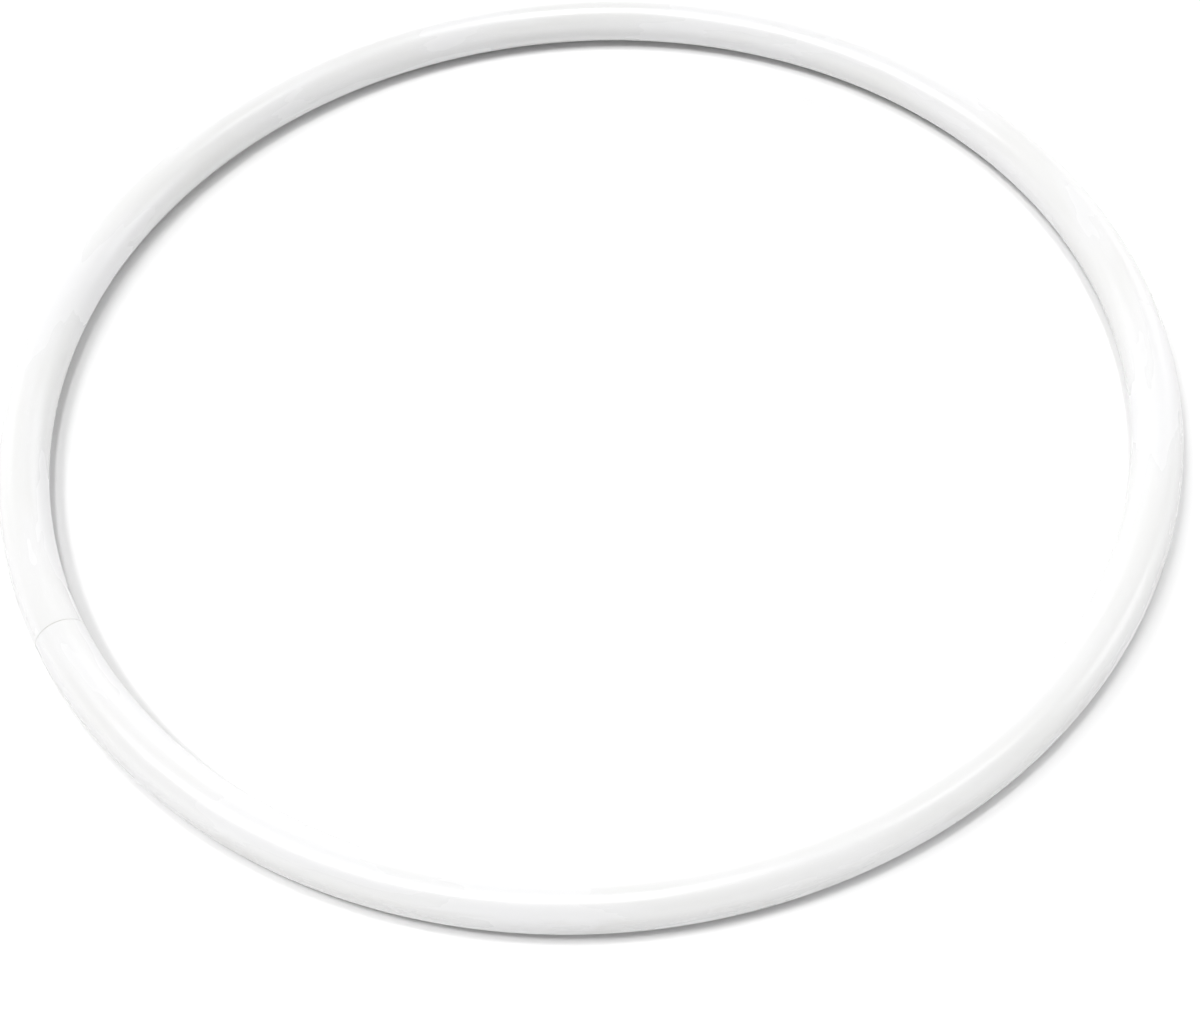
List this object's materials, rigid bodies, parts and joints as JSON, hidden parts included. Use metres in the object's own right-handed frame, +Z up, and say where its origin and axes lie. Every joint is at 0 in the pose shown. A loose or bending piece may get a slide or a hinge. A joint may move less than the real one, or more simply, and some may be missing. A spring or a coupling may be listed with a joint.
{
  "type": "rhythmic hoop",
  "caption": "Ring of round hollow plastic tube for rhythmic gymnastics, its ends butted over an inner plug held by flush pins on the inside of the ring.",
  "frame": {"origin": "centre of the circle on which the hoop touches the floor when it lies flat", "axes": "+Z up along the ring's axis; the butt joint is between -X and -Y, 25 degrees from -X"},
  "size_m": [0.5, 0.4999, 0.021],
  "materials": {
    "tube_plastic": "glossy white extruded polyethylene",
    "plug_plastic": "moulded natural nylon",
    "pin_steel": "plain stainless steel"
  },
  "bodies": {
    "root": {"hoop_tube": "tube_plastic", "joint_plug": "plug_plastic", "joint_pin_left": "pin_steel", "joint_pin_right": "pin_steel"}
  },
  "joints": []
}
